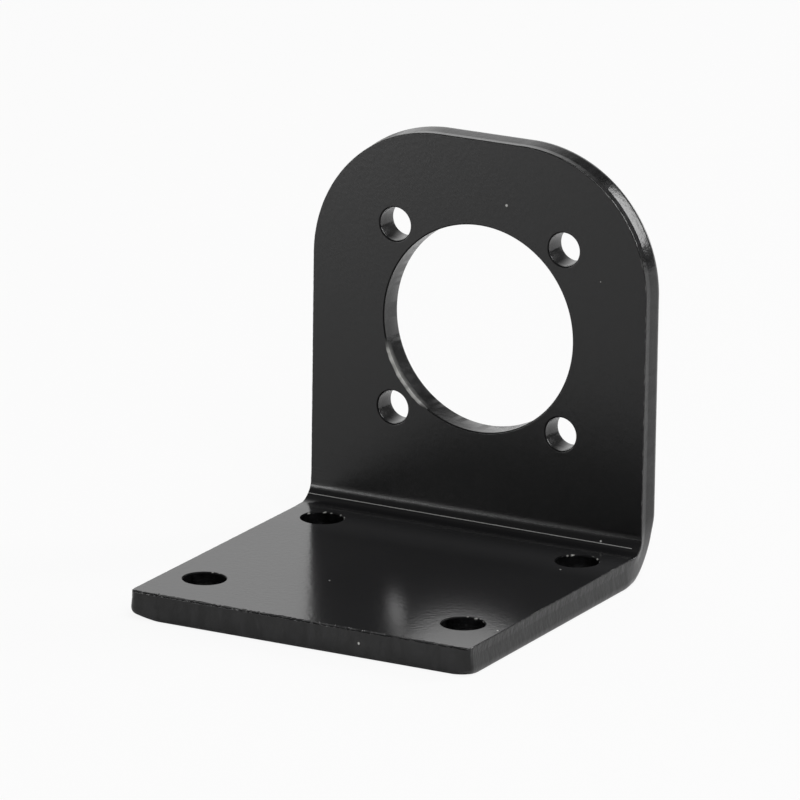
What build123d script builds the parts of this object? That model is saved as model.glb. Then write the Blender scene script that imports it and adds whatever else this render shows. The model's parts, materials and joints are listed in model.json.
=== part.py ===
"""Motor mounting bracket: one piece of steel plate, punched out and folded to a right angle.

The foot lies flat and is screwed down. The upright carries the motor: the gearbox face seats
against the plate, its round boss passes through the large bore, and four screws hold it.

Frame: +Z up, +X to the right, the upright at the +Y end. The origin is on the underside, midway
between the sides and midway between the foot's front edge and the back of the upright.
"""

import os
from math import cos, hypot, pi, sin

from build123d import *

# ------------------------------------------------------------- driving dimensions (mm)
plate_thickness = 3.0

# The motor's seat in the upright
motor_axis_height = 24.3  # underside of the foot to the motor's axis
boss_bore = 22.2  # diameter of the bore that clears the gearbox boss
motor_screw_circle = 28.0  # diameter of the circle through the four motor screws
motor_screw_hole = 3.6  # diameter, clearance for an M3 screw
crown_height = 20.4  # the motor's axis to the top of the upright
crown_radius = 14.7  # the two rounded upper corners

# The screw holes in the foot, and the plate left round them
foot_screw_hole = 4.5  # diameter, clearance for an M4 screw
foot_screw_pitch_x = 30.0  # hole to hole, left to right
foot_screw_pitch_y = 25.0  # hole to hole, front to back
side_margin = 4.5  # hole centres to the sides of the plate
toe_margin = 7.35  # front pair of holes to the foot's front edge
heel_margin = 8.65  # rear pair of holes to the back of the upright
toe_radius = 1.2  # the foot's two front corners, seen from above

# The fold
bend_radius = 1.5  # inside radius
bend_swell = 0.42  # each side stands out this far at the inside of the fold
bend_draw = 0.5  # each side is drawn in this far at the outside of the fold
bend_fade = 1.5  # length of flat plate over which both die away

# Punched edges
die_roll = 0.35  # rounding of the outline on the underside and the back
edge_break = 0.15  # rounding of the outline on the foot's top and the motor's side
rim_break = 0.1  # chamfer on the rim of every hole

fold_stations = 13  # cross sections that shape the sides of the fold

# ------------------------------------------------------------- sizes and places that follow
width = foot_screw_pitch_x + 2 * side_margin
foot_depth = toe_margin + foot_screw_pitch_y + heel_margin
upright_height = motor_axis_height + crown_height

front_y = -foot_depth / 2
back_y = foot_depth / 2
seat_y = back_y - plate_thickness  # the face that the motor seats against
foot_screws_y = front_y + toe_margin + foot_screw_pitch_y / 2  # middle of the foot's four holes

outer_bend_radius = bend_radius + plate_thickness
middle_bend_radius = bend_radius + plate_thickness / 2
fold_y = back_y - outer_bend_radius  # the fold turns about a line through fold_y and fold_z
fold_z = outer_bend_radius
foot_end_y = fold_y - bend_fade  # the flat foot ends and the shaped fold begins
upright_start_z = fold_z + bend_fade  # the shaped fold ends and the flat upright begins
arc_length = middle_bend_radius * pi / 2
fold_length = bend_fade + arc_length + bend_fade


# ------------------------------------------------------------- the sides of the fold
# Folding squeezes the inside of the plate and stretches the outside. The steel has to go somewhere:
# each side swells at the inside face and is drawn in at the outside face. Cross sections, turned
# about the fold's centre line, carry that taper. It grows from nothing in the foot, is fullest
# halfway round the bend and dies away in the upright.
def station_plane(travel):
    """The plane across the strip at a distance along the fold. Local x is the bracket's x, and
    local y points away from the fold's centre line, so on the bend a point's y is its radius."""
    if travel < bend_fade:
        foot_y = foot_end_y + travel
        return Plane(origin=(0, foot_y, fold_z), x_dir=(1, 0, 0), z_dir=(0, 1, 0))
    if travel > bend_fade + arc_length:
        upright_z = fold_z + travel - bend_fade - arc_length
        return Plane(origin=(0, fold_y, upright_z), x_dir=(1, 0, 0), z_dir=(0, 0, 1))
    turn = (travel - bend_fade) / middle_bend_radius
    return Plane(origin=(0, fold_y, fold_z), x_dir=(1, 0, 0), z_dir=(0, cos(turn), sin(turn)))


def half_width(radius, travel):
    """Half the strip's width at a radius from the fold's centre line."""
    fullness = sin(pi * travel / fold_length) ** 2
    through = (radius - bend_radius) / plate_thickness  # 0 at the inside face, 1 at the outside
    return width / 2 + fullness * (bend_swell - (bend_swell + bend_draw) * through)


with BuildPart() as fold_sides:
    # The sections reach past both faces of the plate, which then cuts them to its own curves
    inner = bend_radius / 2
    outer = outer_bend_radius + bend_radius / 2
    for station in range(fold_stations):
        travel = fold_length * station / (fold_stations - 1)
        wide = half_width(inner, travel)
        narrow = half_width(outer, travel)
        with BuildSketch(station_plane(travel)):
            with BuildLine():
                Polyline((-wide, inner), (wide, inner), (narrow, outer), (-narrow, outer), close=True)
            make_face()
    loft()


# ------------------------------------------------------------- the bracket
def skin_outline(edges, foot_z, upright_y, radius):
    """The outline of one skin of the plate, all the way round: edges of the foot at a height, of
    the upright at a depth, and of the fold's sides at a radius from its centre line."""
    near = 0.02  # the fold's side edges are splines and stray this far from their radius
    outline = []
    for edge in edges:
        middle = edge @ 0.5
        if middle.Y < fold_y - near:
            stray = middle.Z - foot_z
        elif middle.Z > fold_z + near:
            stray = middle.Y - upright_y
        else:
            stray = hypot(middle.Y - fold_y, middle.Z - fold_z) - radius
        lies_across = abs(middle.X) < near and abs(middle.Y - front_y) > near
        top_edge = abs(middle.Z - upright_height) < near
        if abs(stray) < near and (top_edge or not lies_across):
            outline.append(edge)
    return outline


with BuildPart() as motor_bracket:
    # The fold: a quarter turn of plate with a short flat at each end, cut to its shaped sides
    with BuildSketch(Plane.YZ):
        with BuildLine():
            Line((foot_end_y, 0), (fold_y, 0))
            CenterArc((fold_y, fold_z), outer_bend_radius, -90, 90)
            Line((back_y, fold_z), (back_y, upright_start_z))
            Line((back_y, upright_start_z), (seat_y, upright_start_z))
            Line((seat_y, upright_start_z), (seat_y, fold_z))
            CenterArc((fold_y, fold_z), bend_radius, 0, -90)
            Line((fold_y, plate_thickness), (foot_end_y, plate_thickness))
            Line((foot_end_y, plate_thickness), (foot_end_y, 0))
        make_face()
    extrude(amount=width, both=True)
    add(fold_sides.part, mode=Mode.INTERSECT)

    # The foot
    foot_length = foot_end_y - front_y
    with BuildSketch() as foot_outline:
        with Locations((0, front_y + foot_length / 2)):
            Rectangle(width, foot_length)
        fillet(foot_outline.vertices().group_by(Axis.Y)[0], toe_radius)
    extrude(amount=plate_thickness)

    # The upright, drawn on its back face as seen from the front
    upright_length = upright_height - upright_start_z
    with BuildSketch(Plane(origin=(0, back_y, 0), x_dir=(1, 0, 0), z_dir=(0, -1, 0))) as upright_outline:
        with Locations((0, upright_start_z + upright_length / 2)):
            Rectangle(width, upright_length)
        fillet(upright_outline.vertices().group_by(Axis.Y)[-1], crown_radius)
    extrude(amount=plate_thickness)

    # The punch leaves a wide roll on the outer skin and a slight one on the inner skin
    fillet(skin_outline(motor_bracket.edges(), 0, back_y, outer_bend_radius), die_roll)
    fillet(skin_outline(motor_bracket.edges(), plate_thickness, seat_y, bend_radius), edge_break)

    # The bore for the gearbox boss and the motor screw holes round it
    with Locations(Plane(origin=(0, seat_y, motor_axis_height), x_dir=(1, 0, 0), z_dir=(0, -1, 0))):
        Hole(boss_bore / 2, depth=plate_thickness)
        with PolarLocations(motor_screw_circle / 2, 4, start_angle=45):
            Hole(motor_screw_hole / 2, depth=plate_thickness)

    # The screw holes in the foot
    with Locations((0, foot_screws_y, plate_thickness)):
        with GridLocations(foot_screw_pitch_x, foot_screw_pitch_y, 2, 2):
            Hole(foot_screw_hole / 2, depth=plate_thickness)

    # Every full circle left on the part is the rim of a hole
    rims = motor_bracket.edges().filter_by(GeomType.CIRCLE).filter_by(lambda edge: edge.is_closed)
    chamfer(rims, rim_break)

motor_bracket.part.label = "motor_bracket"

os.makedirs("parts", exist_ok=True)
export_step(motor_bracket.part, "parts/motor_bracket.step")
print(f"motor_bracket: {motor_bracket.part.volume:.0f} cubic mm, {len(rims)} hole rims")
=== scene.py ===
# %% [markdown]
# # A motor mounting bracket: punched, folded and painted
#
# The real part is one strip of 3 mm steel plate. A press punches its outline and its holes, a
# press brake folds it to a right angle, and black dip paint covers it. This lesson makes its
# looks in the same order: blank, holes, walls, rims, small marks, fold, paint, and then a studio.
#
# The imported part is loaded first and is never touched. It gives every place and size that a
# screw or a motor depends on, so the dressed piece can't drift away from it.

# %% Load the fixed part
import json
import math

import bmesh
import bpy
from mathutils import Matrix, Vector, noise


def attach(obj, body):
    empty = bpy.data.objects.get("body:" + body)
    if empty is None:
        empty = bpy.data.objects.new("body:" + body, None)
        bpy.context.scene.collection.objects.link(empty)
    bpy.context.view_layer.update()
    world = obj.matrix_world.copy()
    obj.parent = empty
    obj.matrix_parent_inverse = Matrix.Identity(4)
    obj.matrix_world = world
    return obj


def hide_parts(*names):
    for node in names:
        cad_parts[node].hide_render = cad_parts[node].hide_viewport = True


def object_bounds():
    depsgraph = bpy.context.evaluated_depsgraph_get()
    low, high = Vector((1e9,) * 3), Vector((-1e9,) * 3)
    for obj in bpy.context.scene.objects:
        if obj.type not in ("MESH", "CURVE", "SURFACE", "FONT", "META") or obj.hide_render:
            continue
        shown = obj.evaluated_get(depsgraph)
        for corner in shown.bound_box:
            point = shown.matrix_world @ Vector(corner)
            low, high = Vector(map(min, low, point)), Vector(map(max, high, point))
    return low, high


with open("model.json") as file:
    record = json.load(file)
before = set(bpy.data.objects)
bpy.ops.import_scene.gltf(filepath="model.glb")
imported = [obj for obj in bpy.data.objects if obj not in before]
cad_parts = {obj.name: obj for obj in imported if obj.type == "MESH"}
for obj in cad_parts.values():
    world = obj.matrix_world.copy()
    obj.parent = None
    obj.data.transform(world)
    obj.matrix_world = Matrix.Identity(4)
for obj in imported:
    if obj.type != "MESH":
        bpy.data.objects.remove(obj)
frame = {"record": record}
part_low, part_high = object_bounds()
mounts = {mount["name"]: mount for mount in frame["record"]["mounts"]}
MM = 0.001
print("part box, mm:", [round(x / MM, 2) for x in (*part_low, *part_high)])

# %% [markdown]
# ## The camera
#
# A long lens far away keeps the plate's edges almost parallel, as parts catalogues show them.
# The camera looks from the front right and a little from above, and it leans by less than a
# degree. It comes first, because every later choice is judged through it.

# %% Camera
CAMERA_AZIMUTH = math.radians(28.17)
CAMERA_ELEVATION = math.radians(16.07)
CAMERA_LEAN = math.radians(0.79)
CAMERA_DISTANCE = 957.1 * MM
CAMERA_AIM = Vector((-1.142, 2.816, 20.107)) * MM

back = Vector((
    math.sin(CAMERA_AZIMUTH) * math.cos(CAMERA_ELEVATION),
    -math.cos(CAMERA_AZIMUTH) * math.cos(CAMERA_ELEVATION),
    math.sin(CAMERA_ELEVATION),
))
bpy.ops.object.select_all(action="DESELECT")
bpy.ops.object.camera_add(location=CAMERA_AIM + back * CAMERA_DISTANCE)
camera = bpy.context.active_object
camera.name = "camera"
level = back.to_track_quat("Z", "Y").to_matrix()
camera.rotation_euler = (level @ Matrix.Rotation(CAMERA_LEAN, 3, "Z")).to_euler()
camera.data.lens = 419.8
camera.data.sensor_width = 36
camera.data.clip_start = 0.01
bpy.context.scene.camera = camera
print("camera stands at, mm:", [round(x / MM, 1) for x in camera.location])

# %% [markdown]
# ## The blank
#
# The brake lets the middle of the plate keep its length, so a folded part is drawn flat first.
# Its length is the foot, plus a quarter turn at the plate's middle, plus the upright. The flat
# outline is one rectangle with four rounded corners: two large ones for the crown and two small
# ones for the toe. A plane with bevelled corners is that outline, and nothing else is needed.
# Its width is that of the underside, because the sheared walls lean in from there.

# %% Sizes of the blank
THICKNESS = 3.0 * MM
WIDTH = 39.46 * MM
CROWN_RADIUS = 14.8 * MM
TOE_RADIUS = 0.9 * MM
BEND_RADIUS = 1.5 * MM

front_y, back_y, top_z = part_low.y, part_high.y, part_high.z
fold_z = BEND_RADIUS + THICKNESS
fold_y = back_y - fold_z
arc_length = (BEND_RADIUS + THICKNESS / 2) * math.pi / 2
blank_end_y = fold_y + arc_length + top_z - fold_z
blank_length = blank_end_y - front_y
print("blank, mm:", round(WIDTH / MM, 2), "x", round(blank_length / MM, 2))


# %% Helpers that select by place
def start_editing(piece):
    bpy.ops.object.select_all(action="DESELECT")
    piece.select_set(True)
    bpy.context.view_layer.objects.active = piece
    bpy.ops.object.mode_set(mode="EDIT")


def pick(piece, kind, wanted):
    """In edit mode, selects exactly the verts, edges or faces that are wanted."""
    modes = {"verts": "VERT", "edges": "EDGE", "faces": "FACE"}
    bpy.ops.mesh.select_mode(type=modes[kind])
    bpy.ops.mesh.select_all(action="DESELECT")
    shape = bmesh.from_edit_mesh(piece.data)
    found = [item for item in getattr(shape, kind) if wanted(item)]
    for item in found:
        item.select_set(True)
    bmesh.update_edit_mesh(piece.data)
    return len(found)


print("helpers: start_editing, pick")

# %% A plane as long and as wide as the blank
bpy.ops.object.select_all(action="DESELECT")
bpy.ops.mesh.primitive_plane_add(size=1, location=(0, front_y + blank_length / 2, 0))
bracket = bpy.context.active_object
bracket.name = "bracket"
bracket.data.name = "bracket"
bracket.scale = (WIDTH, blank_length, 1)
bpy.ops.object.transform_apply(location=True, rotation=True, scale=True)
print("blank reaches to y, mm:", round(blank_end_y / MM, 2))

# %% Round its corners and keep only the outline
STEP = 0.16 * MM  # the spacing of points on a curve
NEAR = 0.001 * MM  # closer than this is the same place

start_editing(bracket)
pick(bracket, "verts", lambda v: v.co.y > 0)
crown_steps = round(CROWN_RADIUS * math.pi / 2 / STEP)
bpy.ops.mesh.bevel(affect="VERTICES", offset=CROWN_RADIUS, segments=crown_steps)
pick(bracket, "verts", lambda v: v.co.y < front_y + NEAR)
bpy.ops.mesh.bevel(affect="VERTICES", offset=TOE_RADIUS, segments=8)
pick(bracket, "faces", lambda face: True)
bpy.ops.mesh.delete(type="ONLY_FACE")
print("outline points:", len(bmesh.from_edit_mesh(bracket.data).verts))

# %% [markdown]
# ## The holes
#
# Every hole is punched while the blank is flat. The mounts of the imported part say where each
# one is and how wide: the bore, four screws round it, and four screws through the foot. Each is
# a circle of points, and one fill then makes the plate round them all.


# %% Places and sizes of the holes
def on_blank(z):
    """Where a height on the upright lies along the flat blank."""
    return fold_y + arc_length + z - fold_z


bore, face_screws, foot_screws = (
    mounts[name] for name in ("motor_bore", "motor_screws", "foot_screws")
)
bore_y = on_blank(bore["pos_m"][2])
bore_radius = bore["dims"]["r_mm"] * MM
holes = [(0, bore_y, bore_radius)]
circle_radius = face_screws["dims"]["pcd_mm"] / 2 * MM
for quarter in range(4):
    turn = math.radians(45 + 90 * quarter)
    x, y = circle_radius * math.cos(turn), bore_y + circle_radius * math.sin(turn)
    holes.append((x, y, face_screws["dims"]["hole_r_mm"] * MM))
foot_holes = []
for across in (-0.5, 0.5):
    for along in (-0.5, 0.5):
        x = across * foot_screws["dims"]["spacing_x_mm"] * MM
        y = foot_screws["pos_m"][1] + along * foot_screws["dims"]["spacing_y_mm"] * MM
        foot_holes.append((x, y, foot_screws["dims"]["hole_r_mm"] * MM))
holes += foot_holes
print("holes:", len(holes), "of which in the foot:", len(foot_holes))

# %% A circle of points for each hole
for x, y, radius in holes:
    points = max(64, 4 * round(radius * math.pi / 2 / STEP))
    bpy.ops.mesh.primitive_circle_add(
        vertices=points, radius=radius, fill_type="NOTHING", location=(x, y, 0)
    )
print("points with the holes:", len(bmesh.from_edit_mesh(bracket.data).verts))

# %% Fill the plate and give it its thickness
bpy.ops.mesh.select_all(action="SELECT")
bpy.ops.mesh.fill(use_beauty=False)
bpy.ops.mesh.select_all(action="SELECT")
bpy.ops.mesh.dissolve_limited(angle_limit=math.radians(1))
bpy.ops.mesh.select_all(action="SELECT")
bpy.ops.mesh.extrude_region_move(TRANSFORM_OT_translate={"value": (0, 0, THICKNESS)})
bpy.ops.mesh.select_all(action="SELECT")
bpy.ops.mesh.normals_make_consistent(inside=False)
volume = bmesh.from_edit_mesh(bracket.data).calc_volume()
print("volume, mm3:", round(volume / MM**3, 1))


# %% [markdown]
# ## Points all along the outline
#
# The step before joined what lay in one line, so a straight edge is now one long edge from
# corner to corner. Its later wear needs a point every quarter of a millimetre or closer. Only
# the edges between a flat side and an outer wall are divided, since the holes have their points.


# %% Divide the long edges
def is_rim(edge, z, of_hole):
    """An edge between a flat side of the plate and a wall, in a hole or on the outline."""
    if any(abs(v.co.z - z) > NEAR for v in edge.verts):
        return False
    tilts = sorted(abs(face.normal.z) for face in edge.link_faces)
    if len(tilts) != 2 or tilts[0] > 0.5 or tilts[1] < 0.5:
        return False
    point = (edge.verts[0].co + edge.verts[1].co) / 2
    in_hole = any(math.hypot(point.x - x, point.y - y) < radius + NEAR for x, y, radius in holes)
    return in_hole == of_hole


def is_long(edge):
    on_outline = is_rim(edge, 0, False) or is_rim(edge, THICKNESS, False)
    return edge.calc_length() > 1.6 * STEP and on_outline


while pick(bracket, "edges", is_long):
    bpy.ops.mesh.subdivide(number_cuts=1)
print("points after dividing:", len(bmesh.from_edit_mesh(bracket.data).verts))

# %% [markdown]
# ## The sheared walls
#
# A punched wall isn't quite upright. The punch first cuts two thirds of the way, which leaves a
# smooth, burnished wall, and then the rest breaks off, which leaves a fracture that leans the
# other way. Both lean so little that only their mirror images show it. Cuts across the wall give
# it rows of points, and close rows beside a change keep that change crisp. No operator moves
# each point by its own amount, so this and the later small shifts are made point by point.

# %% Rows of points up the walls
FRACTURE_START = 2.0 * MM
FRACTURE_BLEND = 0.06 * MM
LIP = 0.25 * MM  # from the front face down to the last row

wall_rows = (
    FRACTURE_START - FRACTURE_BLEND, FRACTURE_START, FRACTURE_START + FRACTURE_BLEND,
    THICKNESS - LIP,
)
for z in wall_rows:
    bpy.ops.mesh.select_all(action="SELECT")
    bpy.ops.mesh.bisect(plane_co=(0, 0, z), plane_no=(0, 0, 1))
print("wall rows at, mm:", [round(z / MM, 2) for z in wall_rows])


# %% Lean the walls
def outward(point):
    """The sideways direction from the plate to a point of its outline."""
    radius = CROWN_RADIUS if point.y > 0 else TOE_RADIUS
    core_x = max(-WIDTH / 2 + radius, min(WIDTH / 2 - radius, point.x))
    core_y = max(front_y + radius, min(blank_end_y - radius, point.y))
    return Vector((point.x - core_x, point.y - core_y, 0)).normalized()


def off_holes(point, distance):
    return all(math.hypot(point.x - x, point.y - y) > radius + distance for x, y, radius in holes)


SHEAR_SPREAD = 0.22 * MM  # how far the burnished wall leans in
FRACTURE_LEAN = 0.06  # how much of that the fracture gives back, for each unit of height
TOE_SHARE = 0.25  # the toe's wall is more upright

plate = bmesh.from_edit_mesh(bracket.data)
leaning = [v for v in plate.verts if v.co.z > NEAR and off_holes(v.co, NEAR)]
for vertex in leaning:
    way, z = outward(vertex.co), vertex.co.z
    lean = SHEAR_SPREAD * min(1, z / FRACTURE_START) - FRACTURE_LEAN * max(0, z - FRACTURE_START)
    vertex.co -= way * lean * (TOE_SHARE if way.y < -0.5 else 1)
bmesh.update_edit_mesh(bracket.data)
print("points leaned in:", len(leaning))

# %% [markdown]
# ## The rims
#
# A punch pulls the skin of the steel down where it goes in, so the rims on that side are round.
# Where it comes out, the steel tears, and the rims there are sharp and a little ragged. The
# round side ends up under the foot and on the back of the upright. A bevel makes both, with a
# large size for the round side and a small one for the torn side.

# %% Bevel the rims
ROLL_DEPTH = 0.35 * MM
EDGE_BREAK = 0.08 * MM
HOLE_ROLL = 0.12 * MM
HOLE_BREAK = 0.16 * MM

for z, of_hole, size, segments in (
    (0, False, ROLL_DEPTH, 9),
    (THICKNESS, False, EDGE_BREAK, 4),
    (0, True, HOLE_ROLL, 3),
    (THICKNESS, True, HOLE_BREAK, 4),
):
    count = pick(bracket, "edges", lambda e: is_rim(e, z, of_hole))
    bpy.ops.mesh.bevel(
        affect="EDGES", offset=size, segments=segments, clamp_overlap=False, loop_slide=False
    )
    print("rim edges:", count, "rounded to, mm:", round(size / MM, 2))

# %% [markdown]
# ## The roll
#
# The skin is dragged further along the wall than across the face, so the round rim is more than
# twice as high as it is deep. A bevel is always as high as it is deep, and stretching its points
# upwards from the underside gives it the true form.

# %% Draw the roll out along the wall
ROLL_HEIGHT = 0.8 * MM


def on_roll(vertex):
    return NEAR < vertex.co.z < ROLL_DEPTH + NEAR and off_holes(vertex.co, 1 * MM)


count = pick(bracket, "verts", on_roll)
stretch = (1, 1, ROLL_HEIGHT / ROLL_DEPTH)
bpy.ops.transform.resize(value=stretch, center_override=(0, 0, 0))
print("points of the roll:", count)

# %% [markdown]
# ## The torn edge
#
# Along the front face the break leaves tiny notches, deepest on the toe. Noise in the shift of
# each point makes the notches, and a point attribute keeps how much painted edge highlight each
# point gets, for the paint to read. Cuts fence in the toe's two corners first, so that what is
# done to them later can't tilt the wide underside.

# %% Fence in the toe's corners
TOE_CORNER = 3.4 * MM

bpy.ops.mesh.select_all(action="SELECT")
bpy.ops.mesh.bisect(plane_co=(0, front_y + TOE_CORNER, 0), plane_no=(0, 1, 0))
for side in (-1, 1):
    fence_y = front_y + TOE_CORNER - NEAR
    count = pick(bracket, "faces", lambda face: face.calc_center_bounds().y < fence_y)
    bpy.ops.mesh.bisect(plane_co=(side * (WIDTH / 2 - TOE_CORNER), 0, 0), plane_no=(1, 0, 0))
    print("faces of the toe before the cut:", count)


# %% How far the tear reaches, and how much painted highlight it gets
def clamp(value):
    return max(0, min(1, value))


def torn(point):
    """How far the tear eats into the plate's face at a point of its outline."""
    coarse = noise.noise(point / (0.9 * MM))
    fine = noise.noise(point / (0.3 * MM) + Vector((7, 3, 1)))
    return max(0, 0.12 + 0.16 * coarse + 0.34 * fine) * MM


def edge_glint_share(point, at_toe):
    """A thin, even painted highlight along the toe, and lone patches of painted highlight
    elsewhere.
    """
    patchy = noise.noise(point / (0.8 * MM))
    return clamp(0.16 + 0.3 * patchy if at_toe else 0.9 * patchy - 0.12)


along_toe = [torn(Vector((x * MM, front_y, THICKNESS))) / MM for x in (-15, -5, 5, 15)]
print("tear at four places of the toe, mm:", [round(tear, 2) for tear in along_toe])

# %% Tear the edge
TOE_TEAR, SIDE_TEAR = 1.1, 0.15  # shares of the tear that each edge shows
TOE_BREAK = 0.15 * MM  # how far a notch of the toe cuts down its wall
DEEP_TEAR = 0.25 * MM  # a tear this long cuts all the way down

plate = bmesh.from_edit_mesh(bracket.data)
# Each point's share of painted edge highlight, a light grey that the paint mixes in
edge_glint = plate.verts.layers.float.new("worn_edge")
edge_points = [
    v for v in plate.verts if v.co.z > THICKNESS - EDGE_BREAK + NEAR and off_holes(v.co, 1 * MM)
]
for vertex in edge_points:
    rise = (vertex.co.z - THICKNESS + EDGE_BREAK) / EDGE_BREAK
    way, eaten = outward(vertex.co), torn(vertex.co)
    at_toe = way.y < -0.5
    if rise < 0.99:
        vertex[edge_glint] = edge_glint_share(vertex.co, at_toe)
    vertex.co -= way * eaten * rise * (TOE_TEAR if at_toe else SIDE_TEAR)
    if at_toe:
        vertex.co.z -= TOE_BREAK * min(1, eaten / DEEP_TEAR) * (1 - rise)
bmesh.update_edit_mesh(bracket.data)
print("points on the torn edge:", len(edge_points))

# %% [markdown]
# ## Painted highlights on the rims of the holes
#
# The punch scraped the bore's rim back a little on its way out, along a short arc at the lower
# left, and that arc also gets a painted highlight. The rims of the foot's holes get a few painted
# glints, on the side away from the toe.

# %% The scraped arc of the bore, with its painted highlight
SCRAPE_START, SCRAPE_END, SCRAPE_FADE = 194, 238, 6  # degrees round the bore
SCRAPE_DEPTH = 0.1  # in millimetres


def scrape_and_glint(point):
    """How far the bore's rim is scraped back, and how much painted highlight it gets. Above 1, the
    highlight's light grey is mixed in fully.
    """
    across, along = point.x, point.y - bore_y
    if abs(math.hypot(across, along) - bore_radius) > 0.3 * MM:
        return 0
    turn = math.degrees(math.atan2(along, across)) % 360
    ragged = 0.35 * noise.noise(point / (0.5 * MM))
    reach = clamp(min(turn - SCRAPE_START, SCRAPE_END - turn) / SCRAPE_FADE)
    return 2 * reach * clamp(0.8 + ragged)


scrapes = 0
for vertex in plate.verts:
    depth = THICKNESS - vertex.co.z
    scrape_glint = scrape_and_glint(vertex.co) if depth < LIP + 0.01 * MM else 0
    if scrape_glint:
        # The scraped arc also gets a painted highlight, kept with the painted edge highlights
        if depth > NEAR:
            vertex[edge_glint] = scrape_glint * (1 if depth < 0.2 * MM else 0.5)
        away = Vector((vertex.co.x, vertex.co.y - bore_y, 0)).normalized()
        vertex.co += away * SCRAPE_DEPTH * MM * scrape_glint * max(0, 1 - depth / HOLE_BREAK)
        scrapes += 1
bmesh.update_edit_mesh(bracket.data)
print("scraped points:", scrapes)

# %% Painted glints on the rims of the foot's holes
spots = 0
for vertex in plate.verts:
    depth = THICKNESS - vertex.co.z
    for x, y, radius in foot_holes:
        off_rim = abs(math.hypot(vertex.co.x - x, vertex.co.y - y) - radius)
        if NEAR < depth < 0.2 * MM and off_rim < 0.3 * MM and vertex.co.y > y + 0.3 * radius:
            # Painted glints, kept with the painted edge highlights
            vertex[edge_glint] = clamp(8 * noise.noise(vertex.co / (0.35 * MM)) - 2)
            spots += vertex[edge_glint] > 0.5
bmesh.update_edit_mesh(bracket.data)
print("bright points:", spots)

# %% [markdown]
# ## The lifted corners of the toe
#
# The two lower corners of the toe stand up a little, the left one more than the right.
# Each point near a corner rises by a share that fades out with its distance, and the front face
# of the plate stays where it is.

# %% Lift the corners
TOE_LIFTS = (  # side, lift, reach and how far the corner is pushed out
    (-1, 0.66 * MM, TOE_CORNER, 0.1 * MM),
    (1, 0.33 * MM, 2.2 * MM, 0),
)
for side, lift, reach, bulge in TOE_LIFTS:
    moved = 0
    for vertex in plate.verts:
        apart = math.hypot(vertex.co.x - side * WIDTH / 2, vertex.co.y - front_y)
        if apart < reach:
            share = (1 - apart / reach) ** 1.5 * (1 - vertex.co.z / THICKNESS)
            vertex.co.z += lift * share
            vertex.co.x += side * bulge * share
            moved += 1
    print("points moved at side", side, "of the toe:", moved)
bmesh.update_edit_mesh(bracket.data)

# %% [markdown]
# ## The fold
#
# Bending squeezes the inside of the plate and stretches the outside, so the side faces swell at
# the inner corner and draw in at the outer one. Paint also pools in the inner corner. Cuts
# across the plate give the fold its rows of points, each row is shaped while the plate is flat,
# and a Bend modifier with limits then folds the plate about its middle. This keeps the shaping
# simple, because on flat plate a distance from the fold is only a difference in y.

# %% Rows across the fold
FADE = 2.2 * MM  # how far the fold's shape reaches into the flat plate
FOLD_ROWS = 44

row_start, row_end = fold_y - FADE, fold_y + arc_length + FADE
for row in range(FOLD_ROWS + 1):
    y = row_start + (row_end - row_start) * row / FOLD_ROWS
    bpy.ops.mesh.select_all(action="SELECT")
    bpy.ops.mesh.bisect(plane_co=(0, y, 0), plane_no=(0, 1, 0))
bpy.ops.object.mode_set(mode="OBJECT")
print("rows:", FOLD_ROWS + 1, "from y, mm:", round(row_start / MM, 2), "to", round(row_end / MM, 2))

# %% Remember the flat blank
# The paint reads flat_place, so its patterns run on round the fold without a seam
flat_place = bracket.data.attributes.new("flat_place", "FLOAT_VECTOR", "POINT")
for vertex in bracket.data.vertices:
    flat_place.data[vertex.index].vector = vertex.co
print("places kept:", len(flat_place.data))

# %% Say which faces get which paint
ROLLED, SHEARED, THIN = 0, 1, 2


def paint_for(face):
    """Thin paint on the front rims of the holes, another on the walls, a third on the rest."""
    z, tilt = face.center.z, face.normal.z
    on_rim = z > THICKNESS / 2 and 0.15 < tilt < 0.98 and not off_holes(face.center, 0.2 * MM)
    if on_rim and not scrape_and_glint(face.center):
        return THIN
    return SHEARED if abs(tilt) < 0.3 else ROLLED


finish = bracket.data.attributes.new("finish", "INT", "FACE")
for face in bracket.data.polygons:
    finish.data[face.index].value = paint_for(face)
finishes = [item.value for item in finish.data]
print("faces by finish:", [finishes.count(kind) for kind in (ROLLED, SHEARED, THIN)])


# %% The paint that pools in the corner
CORNER_RADIUS = 1.8 * MM


def pooled(y):
    """How far the paint that pools in the corner stands above the steel's own inner curve."""
    reach = CORNER_RADIUS - BEND_RADIUS
    if fold_y <= y <= fold_y + arc_length:
        turn = (y - fold_y) / arc_length * math.pi / 2
        along = -reach * (math.sin(turn) + math.cos(turn))
        return BEND_RADIUS - along - math.sqrt(along**2 + CORNER_RADIUS**2 - 2 * reach**2)
    outside = max(fold_y - y, y - fold_y - arc_length)
    if outside >= reach:
        return 0
    return CORNER_RADIUS - math.sqrt(CORNER_RADIUS**2 - (reach - outside) ** 2)


print("deepest pool, mm:", round(pooled(fold_y + arc_length / 2) / MM, 3))

# %% Shape the rows
SWELL = 0.15 * MM  # each side stands out this far at the inside of the fold
DRAW = 0.65 * MM  # each side is drawn in this far at the outside of the fold
NARROWING = 0.05 * MM  # the upright is this much narrower than the foot, on each side

for vertex in bracket.data.vertices:
    travel = clamp((vertex.co.y - row_start) / (row_end - row_start))
    inside = vertex.co.z / THICKNESS
    fullness = math.sin(math.pi * travel**0.8) ** 1.8
    pinch = math.sin(math.pi * travel**1.05) ** 1.8
    growth = fullness * SWELL * inside - pinch * DRAW * (1 - inside)
    growth -= NARROWING * travel**2 * (3 - 2 * travel)
    vertex.co.x *= 1 + growth / (WIDTH / 2)
    vertex.co.z += pooled(vertex.co.y) * inside
print("widest, mm:", round(2 * max(v.co.x for v in bracket.data.vertices) / MM, 2))

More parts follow.
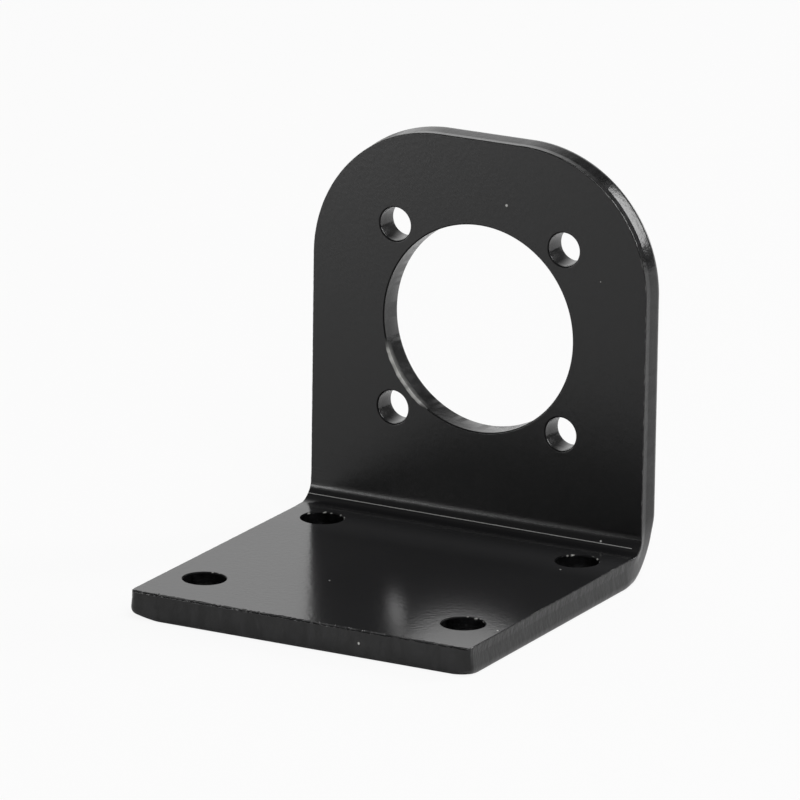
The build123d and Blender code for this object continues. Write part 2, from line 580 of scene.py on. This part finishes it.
# %% Fold the plate
bpy.ops.object.select_all(action="DESELECT")
bpy.ops.object.empty_add(location=(0, fold_y, THICKNESS / 2))
hinge = bpy.context.active_object
hinge.name = "hinge"
# The Bend modifier turns about its own Z and runs along its own X, here the plate's X and Y
turned = Matrix(((0, 0, 1), (1, 0, 0), (0, 1, 0))).to_4x4()
hinge.matrix_world = Matrix.Translation(hinge.location) @ turned
bpy.context.view_layer.update()

ends = [v.co.y for v in bracket.data.vertices]
span = max(ends) - min(ends)
fold = bracket.modifiers.new("fold", "SIMPLE_DEFORM")
fold.deform_method = "BEND"
fold.origin = hinge
fold.deform_axis = "Z"
fold.angle = math.pi / 2
fold.limits = ((fold_y - min(ends)) / span, (fold_y + arc_length - min(ends)) / span)
bpy.ops.object.select_all(action="DESELECT")
bracket.select_set(True)
bpy.context.view_layer.objects.active = bracket
bpy.ops.object.modifier_apply(modifier="fold")
bpy.data.objects.remove(hinge)
for name, axis in (("x", 0), ("y", 1), ("z", 2)):
    places = [v.co[axis] / MM for v in bracket.data.vertices]
    print(name, "from", round(min(places), 3), "to", round(max(places), 3))

# %% [markdown]
# ## Shading
#
# Smooth shading alone would bend the light on the flat sides near every rim. Weighted normals
# let the large faces decide, so the flats stay flat and only the narrow rims turn the light.

# %% Shading
start_editing(bracket)
bpy.ops.mesh.select_all(action="SELECT")
bpy.ops.mesh.normals_make_consistent(inside=False)
bpy.ops.object.mode_set(mode="OBJECT")
bpy.ops.object.shade_smooth()
weights = bracket.modifiers.new("flat faces stay flat", "WEIGHTED_NORMAL")
weights.mode = "FACE_AREA"
weights.weight = 100
bpy.ops.object.modifier_apply(modifier=weights.name)
print("faces:", len(bracket.data.polygons))

# %% [markdown]
# ## The paint
#
# Dip paint on steel is a hard black film. Most of what it shows is the room, mirrored weakly as
# every varnish mirrors it, so the film gets the index of refraction of an acrylic resin, and
# its own colour is nearly black. It is one paint, but it lies differently on rolled skin, on
# sheared walls and on sharp rims, so it gets three materials.


# %% Helpers for the paint
def linear(code):
    """An sRGB hex colour as the linear values that shaders take."""
    parts = [int(code[i:i + 2], 16) / 255 for i in (1, 3, 5)]
    return (*(p / 12.92 if p <= 0.04045 else ((p + 0.055) / 1.055) ** 2.4 for p in parts), 1)


def add_node(tree, kind, place, links=(), **settings):
    """Adds a shader node, sets its inputs and links others into it."""
    node = tree.nodes.new(kind)
    node.location = place
    for name, value in settings.items():
        if name in node.bl_rna.properties:
            setattr(node, name, value)
        else:
            socket = name if name in node.inputs else name.replace("_", " ").title()
            node.inputs[socket].default_value = value
    for socket, source in links:
        tree.links.new(source, node.inputs[socket])
    return node


def empty_material(name):
    material = bpy.data.materials.new(name)
    material.use_nodes = True
    material.node_tree.nodes.clear()
    return material


RESIN_IOR = 1.5
# A light grey for dust specks, and for the painted glints and highlights
SPECK_AND_GLINT_GREY = linear("#d8d8d4")
print("bare steel, linear:", [round(part, 3) for part in SPECK_AND_GLINT_GREY[:3]])


# %% Dust in the paint, and painted glints
def dust_and_glints(tree, spot, specks_mm):
    """Light specks, each a place and a radius: dust that settled in the wet paint, and painted
    glints. Gives 1 on a speck.
    """
    specks = None
    for x, y, z, radius in specks_mm:
        apart = add_node(
            tree, "ShaderNodeVectorMath", (-1100, -500), [(0, spot.outputs["Object"])],
            operation="DISTANCE",
        )
        apart.inputs[1].default_value = (x * MM, y * MM, z * MM)
        speck = add_node(
            tree, "ShaderNodeMapRange", (-900, -500), [("Value", apart.outputs["Value"])],
            From_Min=radius * 0.7 * MM, From_Max=radius * 1.3 * MM, To_Min=1.0, To_Max=0.0,
        )
        specks = speck if specks is None else add_node(
            tree, "ShaderNodeMath", (-700, -500),
            [(0, specks.outputs[0]), (1, speck.outputs[0])], operation="MAXIMUM",
        )
    return specks


# Dust on the faces. The last four are painted glints: one on the foot, one on the fold's crease
# highlight and two on the toe's edge.
SKIN_DUST_AND_GLINTS_MM = (
    (3.15, 17.5, 38.0, 0.13), (14.9, 8.3, 3.0, 0.08), (-3.65, -7.24, 3.0, 0.08),
    (14.2, 17.5, 31.4, 0.05), (19.1, -13.5, 3.0, 0.1), (15.0, 17.2, 3.7, 0.12),
    (7.3, -20.4, 3.0, 0.09), (7.8, -20.4, 3.0, 0.07),
)
# Dust on the walls. The one at the top of the toe's wall is a painted glint.
WALL_DUST_AND_GLINTS_MM = (
    (6.99, -20.5, 1.58, 0.13), (8.0, -20.5, 3.0, 0.06),
    (19.7, 5.36, 2.19, 0.09), (19.7, 18.88, 8.11, 0.09),
)
print("grains of dust:", len(SKIN_DUST_AND_GLINTS_MM) + len(WALL_DUST_AND_GLINTS_MM))

# %% [markdown]
# ## Paint over the rolled skin
#
# The two flat sides of the plate keep the smooth skin of the rolling mill. The film over them is
# glossy on the foot and a little duller on the upright. Its colour carries painted light: a painted
# glow, greyest on the foot a few millimetres before the fold, and painted shade that darkens it
# towards the upright. A fine painted highlight runs along the inside of the fold, and stops short
# of the right side. The highlight follows flat_place, because on the flat blank it is nearly
# straight.

# %% Coordinates for the film
rolled = empty_material("black_dip_paint")
tree = rolled.node_tree
flat = add_node(tree, "ShaderNodeAttribute", (-1500, 0), attribute_name="flat_place")
spot = add_node(tree, "ShaderNodeTexCoord", (-1500, -300))
axes = add_node(
    tree, "ShaderNodeSeparateXYZ", (-1300, 0), [("Vector", flat.outputs["Vector"])]
)
print("the film reads:", flat.attribute_name)

# %% The painted crease highlight
# The line along the fold's inner crease is a painted highlight: a light colour mixed into the film.
CREASE_GLINT_TURN = 0.55  # how far round the fold the line lies
CREASE_GLINT_DRIFT = 0.009  # how much it wanders from left to right
CREASE_GLINT_CORE, CREASE_GLINT_EDGE = 0.06 * MM, 0.11 * MM
CREASE_GLINT_END_X = 18.6 * MM

off_line = add_node(
    tree, "ShaderNodeMath", (-1250, 200), [(0, axes.outputs["X"]), (2, axes.outputs["Y"])],
    operation="MULTIPLY_ADD",
)
off_line.inputs[1].default_value = CREASE_GLINT_DRIFT
off_line = add_node(
    tree, "ShaderNodeMath", (-1100, 200), [(0, off_line.outputs[0])], operation="SUBTRACT"
)
off_line.inputs[1].default_value = fold_y + CREASE_GLINT_TURN * arc_length
off_line = add_node(
    tree, "ShaderNodeMath", (-950, 200), [(0, off_line.outputs[0])], operation="ABSOLUTE"
)
line = add_node(
    tree, "ShaderNodeMapRange", (-800, 200), [("Value", off_line.outputs[0])],
    From_Min=CREASE_GLINT_CORE, From_Max=CREASE_GLINT_EDGE, To_Min=1.0, To_Max=0.0,
)
inner = add_node(
    tree, "ShaderNodeMath", (-800, 400), [(0, axes.outputs["Z"])], operation="GREATER_THAN"
)
inner.inputs[1].default_value = THICKNESS / 2
reached = add_node(
    tree, "ShaderNodeMath", (-800, 600), [(0, axes.outputs["X"])], operation="LESS_THAN"
)
reached.inputs[1].default_value = CREASE_GLINT_END_X
inner = add_node(
    tree, "ShaderNodeMath", (-700, 500), [(0, inner.outputs[0]), (1, reached.outputs[0])],
    operation="MULTIPLY",
)
line = add_node(
    tree, "ShaderNodeMath", (-600, 300), [(0, line.outputs[0]), (1, inner.outputs[0])],
    operation="MULTIPLY",
)
print("rubbed line, mm wide:", round(2 * CREASE_GLINT_EDGE / MM, 2))

# %% Painted glow and shade in the film's colour along the plate
film_end = fold_y + arc_length
# Painted light: a painted glow makes the foot greyest a few millimetres before the fold, and
# painted shade makes the upright darkest
PAINTED_LIGHT_TONES = (
    (fold_y - 9 * MM, "#252526"), (fold_y - 5 * MM, "#343435"), (fold_y - 3 * MM, "#313132"),
    (fold_y, "#1e1e1f"), (film_end, "#101011"),
)
tones_start = PAINTED_LIGHT_TONES[0][0]
tone = add_node(
    tree, "ShaderNodeMapRange", (-600, 500), [("Value", axes.outputs["Y"])],
    From_Min=tones_start, From_Max=film_end,
)
base_tone = add_node(tree, "ShaderNodeValToRGB", (-400, 500), [(0, tone.outputs[0])])
stops = base_tone.color_ramp.elements
while len(stops) < len(PAINTED_LIGHT_TONES):
    stops.new(0.5)
for stop, (y, code) in zip(stops, PAINTED_LIGHT_TONES):
    stop.position = (y - tones_start) / (film_end - tones_start)
    stop.color = linear(code)
print("tones of the film:", len(stops))

# %% Painted highlights and dust over the film
# The edge highlights are painted: below is how bright a painted edge highlight is against the
# crease highlight
EDGE_GLINT_SHARE = 0.42  # how much of the line's brightness a worn edge has

glint_attribute = add_node(tree, "ShaderNodeAttribute", (-600, 700), attribute_name="worn_edge")
faint = add_node(
    tree, "ShaderNodeMath", (-500, 700), [(0, glint_attribute.outputs["Fac"])], operation="MULTIPLY"
)
faint.inputs[1].default_value = EDGE_GLINT_SHARE
line = add_node(
    tree, "ShaderNodeMath", (-400, 300), [(0, line.outputs[0]), (1, faint.outputs[0])],
    operation="MAXIMUM",
)
highlighted = add_node(
    tree, "ShaderNodeMix", (-300, 300),
    [("Factor", line.outputs[0]), ("A", base_tone.outputs["Color"])], data_type="RGBA",
)
# The light grey of the painted highlights along the crease and the edges
highlighted.inputs["B"].default_value = linear("#b4b4b2")
glinting = add_node(
    tree, "ShaderNodeMath", (-400, 700), [(0, glint_attribute.outputs["Fac"])], operation="SUBTRACT"
)
glinting.inputs[1].default_value = 1
specks_and_glints = add_node(
    tree, "ShaderNodeMath", (-300, 600),
    [(0, dust_and_glints(tree, spot, SKIN_DUST_AND_GLINTS_MM).outputs[0]), (1, glinting.outputs[0])], operation="MAXIMUM",
)
colour = add_node(
    tree, "ShaderNodeMix", (-200, 200),
    [("Factor", specks_and_glints.outputs[0]), ("A", highlighted.outputs["Result"])], data_type="RGBA",
)
colour.inputs["B"].default_value = SPECK_AND_GLINT_GREY
print("nodes so far:", len(tree.nodes))

# %% Orange peel, gloss and the finished film
# Cured paint keeps a faint orange peel, about half a millimetre from dimple to dimple
PEEL = 0.45 * MM
FOOT_ROUGHNESS, UPRIGHT_ROUGHNESS = 0.15, 0.28

peel = add_node(
    tree, "ShaderNodeTexNoise", (-900, -200), [("Vector", spot.outputs["Object"])],
    Scale=1 / PEEL, Detail=2, Roughness=0.5,
)
bump = add_node(
    tree, "ShaderNodeBump", (-300, -200), [("Height", peel.outputs["Fac"])],
    Strength=0.014, Distance=0.001,
)
gloss = add_node(
    tree, "ShaderNodeMapRange", (-300, 0), [("Value", axes.outputs["Y"])],
    From_Min=fold_y, From_Max=film_end, To_Min=FOOT_ROUGHNESS, To_Max=UPRIGHT_ROUGHNESS,
)
film = add_node(
    tree, "ShaderNodeBsdfPrincipled", (0, 0),
    [
        ("Base Color", colour.outputs["Result"]), ("Roughness", gloss.outputs[0]),
        ("Normal", bump.outputs["Normal"]),
    ],
    IOR=RESIN_IOR,
)
add_node(tree, "ShaderNodeOutputMaterial", (300, 0), [("Surface", film.outputs["BSDF"])])
print("nodes of the film:", len(tree.nodes))

# %% [markdown]
# ## Paint over the sheared walls
#
# Shearing scores a wall from face to face, and the fracture above the burnish is coarser still.
# Paint levels most of it out. What is left is a bump that grows from the burnish to the fracture
# and is strongest on the foot, and a colour that varies in upright streaks, because the film is
# thinner on every ridge.

# %% The relief of the walls
SCORE_SIZE, BLOTCH_SIZE = 0.7 * MM, 1.4 * MM

sheared = empty_material("black_dip_paint_over_shear")
tree = sheared.node_tree
flat = add_node(tree, "ShaderNodeAttribute", (-1300, 0), attribute_name="flat_place")
spot = add_node(tree, "ShaderNodeTexCoord", (-1500, -300))
axes = add_node(
    tree, "ShaderNodeSeparateXYZ", (-1100, 300), [("Vector", flat.outputs["Vector"])]
)
stretched = add_node(
    tree, "ShaderNodeMapping", (-1100, 0), [("Vector", flat.outputs["Vector"])]
)
stretched.inputs["Scale"].default_value = (1, 1, 0.6)
scores = add_node(
    tree, "ShaderNodeTexNoise", (-900, 0), [("Vector", stretched.outputs["Vector"])],
    Scale=1 / SCORE_SIZE, Detail=3, Roughness=0.6,
)
blotches = add_node(
    tree, "ShaderNodeTexNoise", (-900, -300), [("Vector", flat.outputs["Vector"])],
    Scale=1 / BLOTCH_SIZE, Detail=4, Roughness=0.6,
)
relief = add_node(
    tree, "ShaderNodeMath", (-700, -100),
    [(0, scores.outputs["Fac"]), (1, blotches.outputs["Fac"])], operation="ADD",
)
print("relief from patterns, mm across:", SCORE_SIZE / MM, "and", BLOTCH_SIZE / MM)

# %% Where the relief is strong
BURNISH_BUMP, FRACTURE_BUMP = 0.03, 0.05
FOOT_SCORING = 2  # the foot's walls are this much rougher than the upright's

harsh = add_node(
    tree, "ShaderNodeMapRange", (-500, -400), [("Value", axes.outputs["Z"])],
    From_Min=FRACTURE_START - 0.1 * MM, From_Max=FRACTURE_START + 0.1 * MM,
    To_Min=BURNISH_BUMP, To_Max=FRACTURE_BUMP,
)
scored = add_node(
    tree, "ShaderNodeMapRange", (-500, -600), [("Value", axes.outputs["Y"])],
    From_Min=fold_y - 2 * MM, From_Max=fold_y, To_Min=FOOT_SCORING, To_Max=1,
)
harsh = add_node(
    tree, "ShaderNodeMath", (-400, -500), [(0, harsh.outputs[0]), (1, scored.outputs[0])],
    operation="MULTIPLY",
)
bump = add_node(
    tree, "ShaderNodeBump", (-300, -200),
    [("Height", relief.outputs[0]), ("Strength", harsh.outputs[0])], Distance=0.001,
)
print("bump on the foot's fracture:", FOOT_SCORING * FRACTURE_BUMP)

# %% Upright streaks, and one dark spot by the toe's right corner
DARK_SPOT = (19.1 * MM, -20.5 * MM, 1.8 * MM)

upright = add_node(
    tree, "ShaderNodeMapping", (-1100, 600), [("Vector", flat.outputs["Vector"])]
)
upright.inputs["Scale"].default_value = (1, 1, 0.3)
streaks = add_node(
    tree, "ShaderNodeTexNoise", (-900, 600), [("Vector", upright.outputs["Vector"])],
    Scale=1 / (0.8 * MM), Detail=3, Roughness=0.6,
)
streaks = add_node(
    tree, "ShaderNodeMapRange", (-700, 600), [("Value", streaks.outputs["Fac"])],
    From_Min=0.35, From_Max=0.65,
)
apart = add_node(
    tree, "ShaderNodeVectorMath", (-900, 800), [(0, flat.outputs["Vector"])],
    operation="DISTANCE",
)
apart.inputs[1].default_value = DARK_SPOT
clear = add_node(
    tree, "ShaderNodeMapRange", (-700, 800), [("Value", apart.outputs["Value"])],
    From_Min=0.4 * MM, From_Max=1.2 * MM,
)
streaks = add_node(
    tree, "ShaderNodeMath", (-550, 700), [(0, streaks.outputs[0]), (1, clear.outputs[0])],
    operation="MULTIPLY",
)
base_tone = add_node(
    tree, "ShaderNodeMix", (-400, 600), [("Factor", streaks.outputs[0])], data_type="RGBA"
)
base_tone.inputs["A"].default_value = linear("#020202")
base_tone.inputs["B"].default_value = linear("#1f1f20")
print("nodes so far:", len(tree.nodes))

# %% Painted edge highlights and dust, and the finished film of the walls
glint_attribute = add_node(tree, "ShaderNodeAttribute", (-500, 500), attribute_name="worn_edge")
highlighted = add_node(
    tree, "ShaderNodeMix", (-250, 400),
    [("Factor", glint_attribute.outputs["Fac"]), ("A", base_tone.outputs["Result"])], data_type="RGBA",
)
# The light grey of the painted edge highlights on the walls
highlighted.inputs["B"].default_value = linear("#7a7a78")
colour = add_node(
    tree, "ShaderNodeMix", (-150, 400),
    [("Factor", dust_and_glints(tree, spot, WALL_DUST_AND_GLINTS_MM).outputs[0]), ("A", highlighted.outputs["Result"])],
    data_type="RGBA",
)
colour.inputs["B"].default_value = SPECK_AND_GLINT_GREY
film = add_node(
    tree, "ShaderNodeBsdfPrincipled", (0, 0),
    [("Base Color", colour.outputs["Result"]), ("Normal", bump.outputs["Normal"])],
    Roughness=0.17, IOR=RESIN_IOR,
)
add_node(tree, "ShaderNodeOutputMaterial", (300, 0), [("Surface", film.outputs["BSDF"])])
print("nodes over shear:", len(tree.nodes))

# %% [markdown]
# ## Thin paint on the rims of the holes
#
# Wet paint draws back from a sharp rim. The little that stays is thin and dull, so the front rims
# of the holes look like a dark line, broken by painted glints where the point attribute marks them.

# %% Thin, dull paint
thin = empty_material("black_dip_paint_thin")
tree = thin.node_tree
glint_attribute = add_node(tree, "ShaderNodeAttribute", (-500, 0), attribute_name="worn_edge")
colour = add_node(
    tree, "ShaderNodeMix", (-250, 0), [("Factor", glint_attribute.outputs["Fac"])], data_type="RGBA"
)
colour.inputs["A"].default_value = linear("#0c0c0d")
# The light grey of the painted glints on the rims
colour.inputs["B"].default_value = linear("#c8c8c4")
film = add_node(
    tree, "ShaderNodeBsdfPrincipled", (0, 0), [("Base Color", colour.outputs["Result"])],
    Roughness=0.5, IOR=RESIN_IOR,
)
film.inputs["Specular IOR Level"].default_value = 0.15
add_node(tree, "ShaderNodeOutputMaterial", (300, 0), [("Surface", film.outputs["BSDF"])])
print("nodes on the rims:", len(tree.nodes))

# %% Three finishes on one plate
for material in (rolled, sheared, thin):
    bracket.data.materials.append(material)
for face in bracket.data.polygons:
    face.material_index = bracket.data.attributes["finish"].data[face.index].value
bracket.data.attributes.remove(bracket.data.attributes["finish"])
print("materials:", [material.name for material in bracket.data.materials])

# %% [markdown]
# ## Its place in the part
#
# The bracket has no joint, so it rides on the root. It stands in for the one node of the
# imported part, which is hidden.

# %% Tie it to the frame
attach(bracket, "root")
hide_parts("motor_bracket")
print("triangles:", sum(len(face.vertices) - 2 for face in bracket.data.polygons))

# %% [markdown]
# ## The studio
#
# The bracket stands on a large sheet of matt white paper. The paper is an ordinary diffuse
# surface, so it keeps the bracket's shadow. For rays that come straight from the camera, nine
# tenths of it is a plain white glow, which gives an even pale background without more light on
# the bracket. Rays that were mirrored or let through get only a trace of that glow.

# %% Floor
bpy.ops.object.select_all(action="DESELECT")
bpy.ops.mesh.primitive_plane_add(size=8, location=(0, 0, 0))
floor = bpy.context.active_object
floor.name = "floor"
print("floor, m wide:", round(floor.dimensions.x, 1))

# %% White paper
CAMERA_GLOW = 0.9
MIRROR_GLOW = 0.01

ground = empty_material("matt_white_paper")
tree = ground.node_tree
rays = add_node(tree, "ShaderNodeLightPath", (-600, 200))
direct = add_node(
    tree, "ShaderNodeMath", (-400, 300), [(0, rays.outputs["Is Camera Ray"])],
    operation="MULTIPLY",
)
direct.inputs[1].default_value = CAMERA_GLOW
mirrored = add_node(
    tree, "ShaderNodeMath", (-400, 100),
    [(0, rays.outputs["Is Glossy Ray"]), (1, rays.outputs["Is Transmission Ray"])],
    operation="ADD",
)
share = add_node(
    tree, "ShaderNodeMath", (-200, 200), [(0, mirrored.outputs[0]), (2, direct.outputs[0])],
    operation="MULTIPLY_ADD",
)
share.inputs[1].default_value = MIRROR_GLOW
paper = add_node(tree, "ShaderNodeBsdfDiffuse", (0, 0))
paper.inputs["Color"].default_value = linear("#f4f4f4")
glow = add_node(tree, "ShaderNodeEmission", (0, -200))
mix = add_node(
    tree, "ShaderNodeMixShader", (200, 0),
    [(0, share.outputs[0]), (1, paper.outputs[0]), (2, glow.outputs[0])],
)
add_node(tree, "ShaderNodeOutputMaterial", (400, 0), [("Surface", mix.outputs[0])])
floor.data.materials.append(ground)
print("nodes of the paper:", len(tree.nodes))

# %% [markdown]
# ## The lamps
#
# Glossy black shows its lamps more than its own colour, so each lamp is there for what it draws:
#
# - the key is high at the front right, and lights the walls that face right and the bore's left
# - the fill from above gives the walls that face right most of their light
# - the tall box behind leans, and draws the bright edge on the crown's right shoulder
# - the strip behind is low and weak, and adds only a glint on that shoulder
# - the low card is close to the left side, and draws the highlight along the fold, which is
#   brightest at its left end, and a faint sheen on the face of the upright.
#
# A lamp's power follows from its area, so a large box looks as bright as a small one.

# %% A soft lamp that faces the bracket
MIDDLE = Vector((0, 0, 20 * MM))


def softbox(name, azimuth, elevation, distance, width, height, radiance, aim=MIDDLE):
    """Angles are in degrees. Azimuth 0 is the front, and 90 is the right."""
    turn, rise = math.radians(azimuth), math.radians(elevation)
    toward = Vector((
        math.sin(turn) * math.cos(rise), -math.cos(turn) * math.cos(rise), math.sin(rise)
    ))
    bpy.ops.object.select_all(action="DESELECT")
    bpy.ops.object.light_add(type="AREA", location=aim + toward * distance)
    lamp = bpy.context.active_object
    lamp.name = name
    lamp.rotation_euler = toward.to_track_quat("Z", "Y").to_euler()
    lamp.data.shape = "RECTANGLE"
    lamp.data.size = width
    lamp.data.size_y = height
    lamp.data.energy = math.pi * width * height * radiance
    print(name, "watts:", round(lamp.data.energy, 2))
    return lamp


# %% Lamps
softbox("key", 45, 43, 1.2, 0.45, 0.45, 4)
softbox("fill from above", 90, 72, 1.2, 0.6, 0.6, 4.8)
tall = softbox("tall box behind", 143, 26, 1.2, 0.24, 0.68, 7.6)
tall.rotation_euler.rotate_axis("Z", math.radians(-32))
softbox("strip behind", 178, 3.5, 1.2, 0.5, 0.15, 2, aim=Vector((0, 0, 0)))
card = softbox("low card", -28, 4, 0.25, 0.09, 0.04, 10, aim=Vector((-62, 17, 4)) * MM)
card.visible_diffuse = False

# %% [markdown]
# ## The room
#
# The walls of the room are dim, apart from a bright side at the back left. The left half of the
# foot and the top of the crown mirror that side, and the rest of the foot stays dark. In a world,
# Generated is the direction that a ray goes, and the dot product says how nearly it points to the
# bright side.

# %% A dim room with one bright side
BRIGHT_SIDE = (-0.707, 0.707, 0)
DIM, BRIGHT = 0.15, 1.0

world = bpy.data.worlds.new("white room")
bpy.context.scene.world = world
world.use_nodes = True
tree = world.node_tree
walls = tree.nodes["Background"]
direction = add_node(tree, "ShaderNodeTexCoord", (-900, 0))
facing = add_node(
    tree, "ShaderNodeVectorMath", (-700, 0), [(0, direction.outputs["Generated"])],
    operation="DOT_PRODUCT",
)
facing.inputs[1].default_value = BRIGHT_SIDE
brightness = add_node(
    tree, "ShaderNodeMapRange", (-500, 0), [("Value", facing.outputs["Value"])],
    From_Min=0.6, From_Max=0.9, To_Min=DIM, To_Max=BRIGHT,
)
tree.links.new(brightness.outputs["Result"], walls.inputs["Strength"])
walls.inputs["Color"].default_value = (1, 1, 1, 1)
bpy.context.scene.view_settings.view_transform = "Standard"
print("room from", DIM, "to", BRIGHT)
